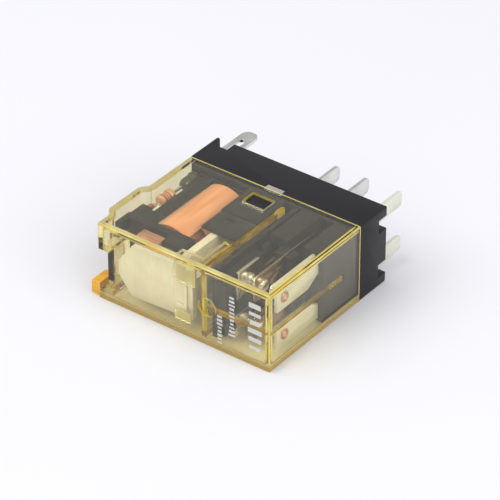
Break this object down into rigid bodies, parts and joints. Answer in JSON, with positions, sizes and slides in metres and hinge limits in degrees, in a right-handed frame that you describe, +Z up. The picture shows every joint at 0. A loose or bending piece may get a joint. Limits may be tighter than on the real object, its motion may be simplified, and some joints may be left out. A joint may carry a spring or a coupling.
{
  "type": "plug in relay",
  "caption": "Slim plug in relay with a clear yellow cover on a black base, changeover contacts, a taped coil, a rocking armature, and flat blades for a socket.",
  "frame": {"origin": "centre of the bounding box's bottom, under the middle of the lower broad side", "axes": "+Y towards the blades' tips, +X from the coil end to the contact end, +Z up through the 12.7 mm width"},
  "size_m": [0.0312, 0.0338, 0.0127],
  "materials": {
    "clear_yellow_cover": "clear yellow polycarbonate, glossy",
    "black_moulding": "fine satin mould finish",
    "enamelled_copper": "enamelled copper wire",
    "orange_tape": "smooth polyester tape",
    "bare_copper": "bare copper",
    "plated_steel": "plated, satin",
    "tinned_metal": "tin plated",
    "leaf_alloy": "rolled, bright",
    "silver_contact": "silver alloy, bright",
    "resistor_lacquer": "lacquered",
    "lamp_lens": "dark tinted lens"
  },
  "bodies": {
    "housing": {"base": "black_moulding", "bobbin": "black_moulding", "coil_pin_lower": "tinned_metal", "coil_pin_upper": "tinned_metal", "coil_tape": "orange_tape", "coil_terminal_lower": "tinned_metal", "coil_terminal_upper": "tinned_metal", "coil_wire_lower": "enamelled_copper", "coil_wire_upper": "enamelled_copper", "com_terminal_lower": "tinned_metal", "com_terminal_upper": "tinned_metal", "core": "plated_steel", "cover": "clear_yellow_cover", "hinge_spring": "plated_steel", "indicator_lamp": "lamp_lens", "indicator_pin": "tinned_metal", "lamp_lead": "tinned_metal", "leaf_rivet_lower": "bare_copper", "leaf_rivet_upper": "bare_copper", "nc_contact_lower": "silver_contact", "nc_contact_upper": "silver_contact", "nc_terminal_lower": "tinned_metal", "nc_terminal_upper": "tinned_metal", "no_contact_lower": "bare_copper", "no_contact_upper": "bare_copper", "no_terminal_lower": "tinned_metal", "no_terminal_upper": "tinned_metal", "resistor": "resistor_lacquer", "resistor_lead_front": "tinned_metal", "resistor_lead_rear": "tinned_metal", "shading_ring": "bare_copper", "winding": "enamelled_copper", "yoke": "plated_steel"},
    "armature": {"armature": "plated_steel"},
    "card": {"card": "black_moulding"},
    "leaf_upper": {"moving_spring_upper": "leaf_alloy", "moving_contact_upper": "silver_contact"},
    "leaf_lower": {"moving_spring_lower": "leaf_alloy", "moving_contact_lower": "silver_contact"}
  },
  "joints": [
    {"name": "armature_tilt", "type": "hinge", "parent": "housing", "child": "armature", "pos_m": [-0.00006, -0.01435, 0.00635], "axis": [0, 0, -1], "range_deg": [0, 3], "stiffness_Nm_per_rad": 0.01, "springref_deg": -5.73},
    {"name": "card_slide", "type": "slide", "parent": "housing", "child": "card", "axis": [1, 0, 0], "range_m": [0, 0.00046]},
    {"name": "leaf_upper_swing", "type": "hinge", "parent": "housing", "child": "leaf_upper", "pos_m": [0.01043, 0.00275, 0.00945], "axis": [0, 0, 1], "range_deg": [0, 3.15]},
    {"name": "leaf_lower_swing", "type": "hinge", "parent": "housing", "child": "leaf_lower", "pos_m": [0.01043, 0.00275, 0.00325], "axis": [0, 0, 1], "range_deg": [0, 3.15]}
  ],
  "couplings": [
    {"joint": "card_slide", "follows": "armature_tilt", "m_per_rad": 0.0087853},
    {"joint": "leaf_upper_swing", "follows": "armature_tilt", "ratio": 1.05},
    {"joint": "leaf_lower_swing", "follows": "armature_tilt", "ratio": 1.05}
  ]
}
